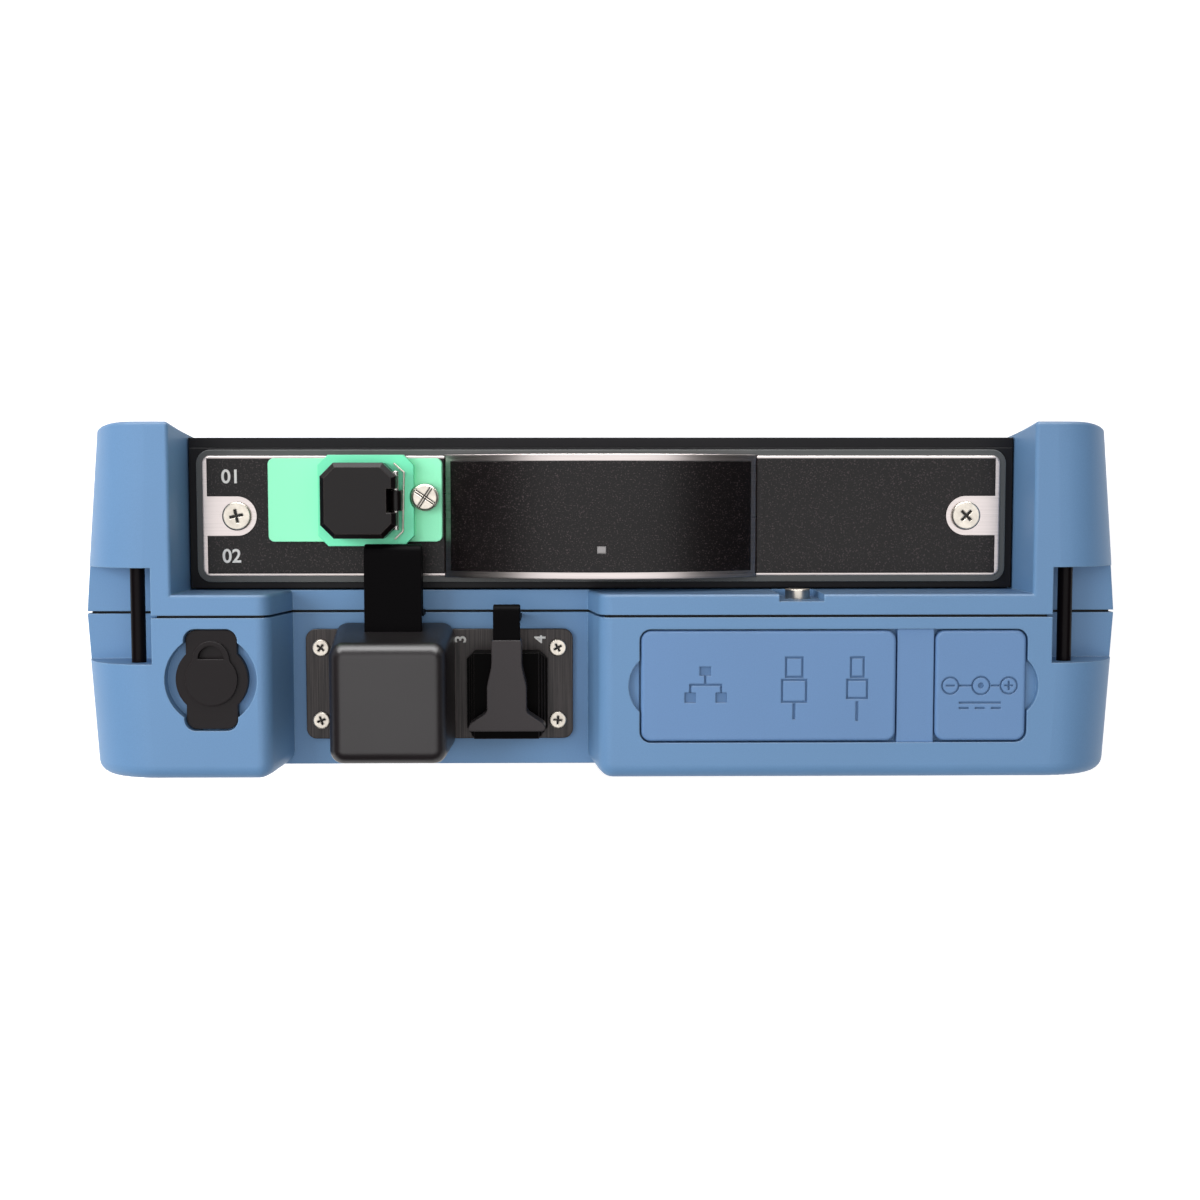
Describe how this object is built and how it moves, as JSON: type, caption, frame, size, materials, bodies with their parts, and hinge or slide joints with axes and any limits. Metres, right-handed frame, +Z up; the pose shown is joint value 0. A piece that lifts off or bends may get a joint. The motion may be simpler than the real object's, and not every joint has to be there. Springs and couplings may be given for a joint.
{
  "type": "optical time domain reflectometer",
  "caption": "Handheld fibre tester with a removable optical module, screw-on connector block, rubber port covers, hinged socket flaps and a touch screen.",
  "frame": {"origin": "middle of the bottom edge that the unit stands on", "axes": "+X right along the connector edge seen from the back, +Y towards the unit's back, +Z up to the connector edge"},
  "size_m": [0.2034, 0.0684, 0.172],
  "materials": {
    "housing": "moulded blue rubberised plastic, fine texture",
    "seal": "black rubber",
    "bar": "glossy dark bar",
    "bezel": "black bezel",
    "glass": "cover glass",
    "screen": "display panel, off",
    "key": "dark grey rubber key",
    "dome": "snap dome",
    "board": "circuit board",
    "socket": "plated socket shell",
    "jack": "black socket body",
    "flap": "blue rubber flap",
    "rubber": "black rubber",
    "plate": "black brushed plate",
    "screw": "plated screw",
    "port": "machined port",
    "block": "black moulded block",
    "case": "black module case",
    "gasket": "grey gasket",
    "silver": "satin silver plate",
    "overlay": "black speckled overlay",
    "light": "unlit indicator window",
    "green": "bright green plastic",
    "cap": "black hinged cap",
    "battery": "battery pack",
    "door": "black door"
  },
  "bodies": {
    "root": {"battery_pack": "battery", "board_screws": "screw", "connector_base": "green", "connector_boss": "green", "dc_jack": "jack", "display_bezel": "bezel", "faceplate": "silver", "faceplate_gasket": "gasket", "fibre_adapter": "port", "flap_anchor": "flap", "front_shell": "housing", "hinge_bracket": "port", "hold_screw": "screw", "housing_screws": "screw", "housing_seal": "seal", "hump_overlay": "overlay", "hump_panel": "silver", "key_board": "board", "key_domes": "dome", "laser_block": "port", "lcd_panel": "screen", "left_overlay": "overlay", "main_board": "board", "meter_port": "port", "micro_usb_jack": "socket", "module_board": "board", "module_case": "case", "module_cover": "case", "module_posts": "case", "module_screws": "screw", "probe_port": "jack", "rear_shell": "housing", "right_overlay": "overlay", "rj45_jack": "socket", "stand_pins": "port", "status_light": "light", "strap_bars": "bar", "tester_plate": "plate", "tester_screws": "screw", "touch_glass": "glass", "usb_jack": "socket", "vfl_port": "block"},
    "ports_flap": {"ports_flap": "flap"},
    "dc_flap": {"dc_flap": "flap"},
    "port_cap": {"port_cap": "cap", "cap_hinge_pin": "port"},
    "thumbscrew": {"thumbscrew": "screw"},
    "probe_plug": {"probe_plug": "rubber"},
    "meter_cover": {"meter_cover": "rubber"},
    "vfl_cover": {"vfl_cover": "rubber"},
    "home_key": {"home_key": "key"},
    "power_key": {"power_key": "key"},
    "tilt_stand": {"tilt_stand": "door"},
    "battery_door": {"battery_door": "door"}
  },
  "joints": [
    {"name": "ports_flap_hinge", "type": "hinge", "parent": "root", "child": "ports_flap", "pos_m": [0.0562, -0.0163, 0.166], "axis": [0, 1, 0], "range_deg": [0, 90]},
    {"name": "dc_flap_hinge", "type": "hinge", "parent": "root", "child": "dc_flap", "pos_m": [0.0636, -0.0163, 0.166], "axis": [0, -1, 0], "range_deg": [0, 90]},
    {"name": "port_cap_hinge", "type": "hinge", "parent": "root", "child": "port_cap", "pos_m": [-0.0402, 0.01915, 0.15855], "axis": [0, 1, 0], "range_deg": [0, 100]},
    {"name": "thumbscrew_turn", "type": "hinge", "parent": "root", "child": "thumbscrew", "pos_m": [-0.0347, 0.01975, 0.156], "axis": [0, 0, 1], "continuous": true},
    {"name": "probe_plug_pull", "type": "slide", "parent": "root", "child": "probe_plug", "axis": [0, 0, 1], "range_m": [0, 0.012]},
    {"name": "meter_cover_pull", "type": "slide", "parent": "root", "child": "meter_cover", "axis": [0, 0, 1], "range_m": [0, 0.018]},
    {"name": "vfl_cover_pull", "type": "slide", "parent": "root", "child": "vfl_cover", "axis": [0, 0, 1], "range_m": [0, 0.008]},
    {"name": "home_key_press", "type": "slide", "parent": "root", "child": "home_key", "axis": [0, 1, 0], "range_m": [0, 0.0006], "stiffness_N_per_m": 1200},
    {"name": "power_key_press", "type": "slide", "parent": "root", "child": "power_key", "axis": [0, 1, 0], "range_m": [0, 0.0006], "stiffness_N_per_m": 1200},
    {"name": "tilt_stand_swing", "type": "hinge", "parent": "root", "child": "tilt_stand", "pos_m": [0, 0.02955, 0.054], "axis": [1, 0, 0], "range_deg": [0, 50]},
    {"name": "battery_door_slide", "type": "slide", "parent": "root", "child": "battery_door", "axis": [0, 1, 0], "range_m": [0, 0.012]}
  ]
}
